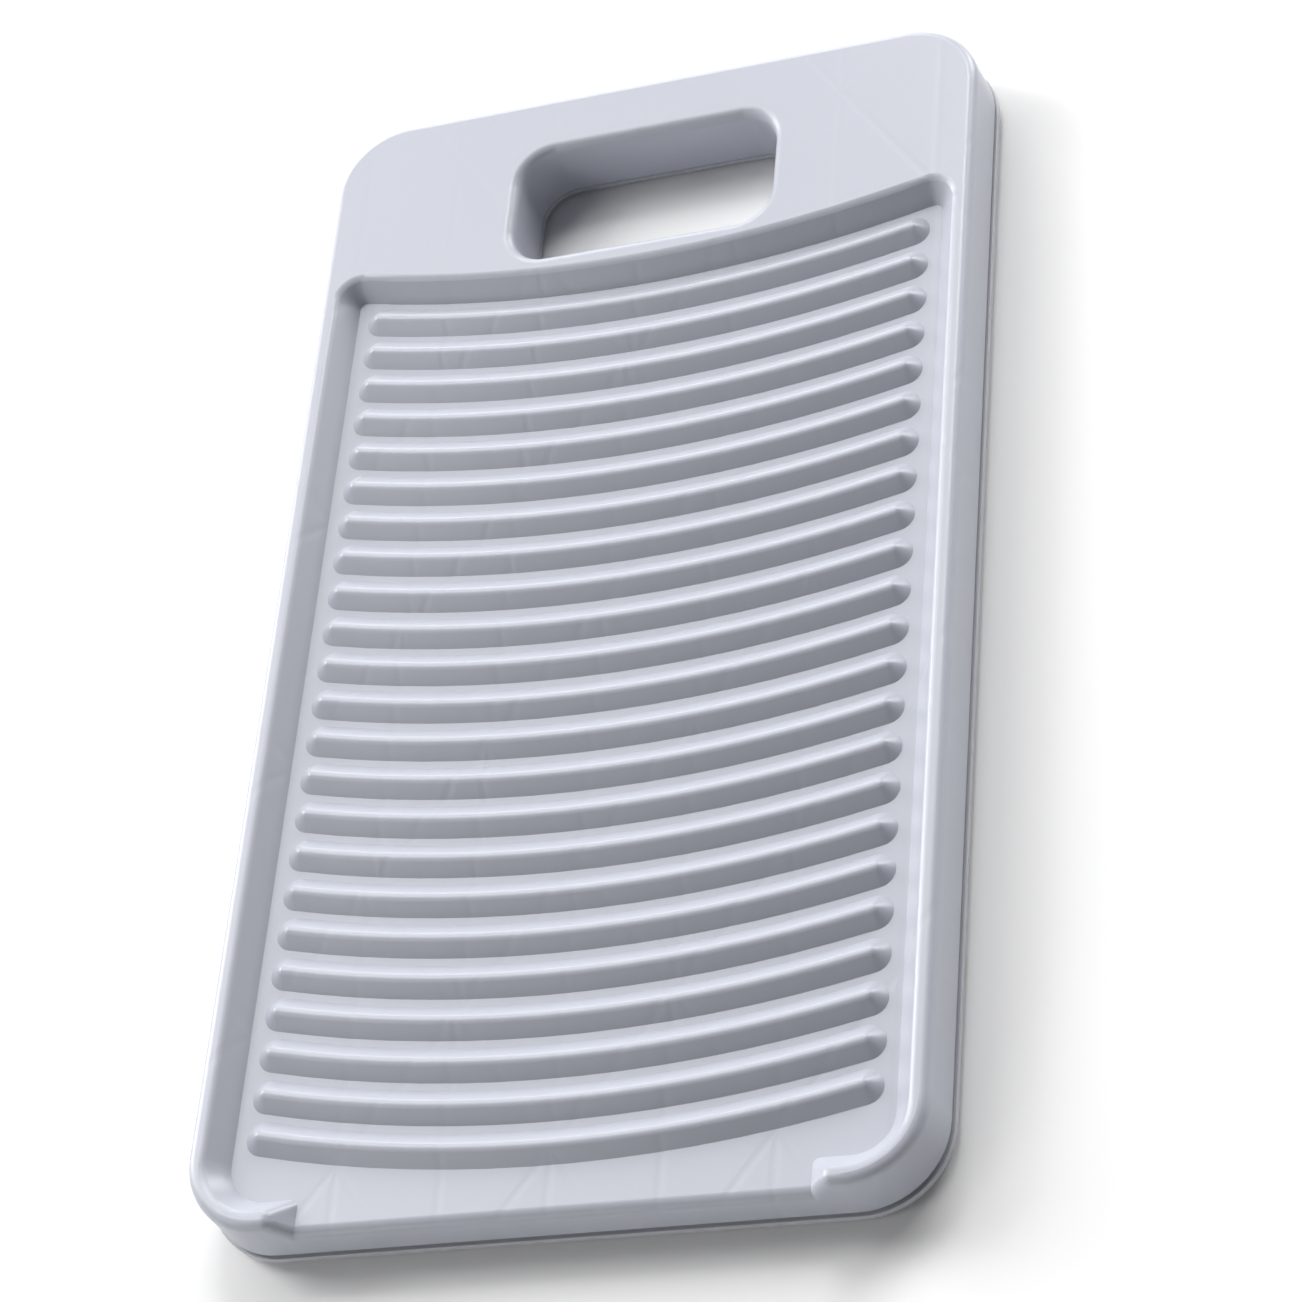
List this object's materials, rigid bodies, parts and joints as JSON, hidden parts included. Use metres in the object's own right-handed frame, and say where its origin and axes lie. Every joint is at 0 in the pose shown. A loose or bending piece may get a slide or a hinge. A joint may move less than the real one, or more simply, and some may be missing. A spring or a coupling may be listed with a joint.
{
  "type": "washboard",
  "caption": "Flat plastic washboard with arched rubbing ribs in a shallow recess, a drain gap at its lower end and a rounded hand opening at its upper end.",
  "frame": {"origin": "centre of the board's outline, at the plane of the feet that it lies on", "axes": "+Z out of the washing face, +Y along the board's length towards the hand opening, +X across its width"},
  "size_m": [0.281, 0.498, 0.0305],
  "materials": {
    "shell": "satin",
    "cover": "satin",
    "feet": "matte"
  },
  "bodies": {
    "root": {"front_shell": "shell", "back_cover": "cover", "foot_upper_left": "feet", "foot_upper_right": "feet", "foot_middle_left": "feet", "foot_middle_right": "feet", "foot_lower_left": "feet", "foot_lower_right": "feet"}
  },
  "joints": []
}
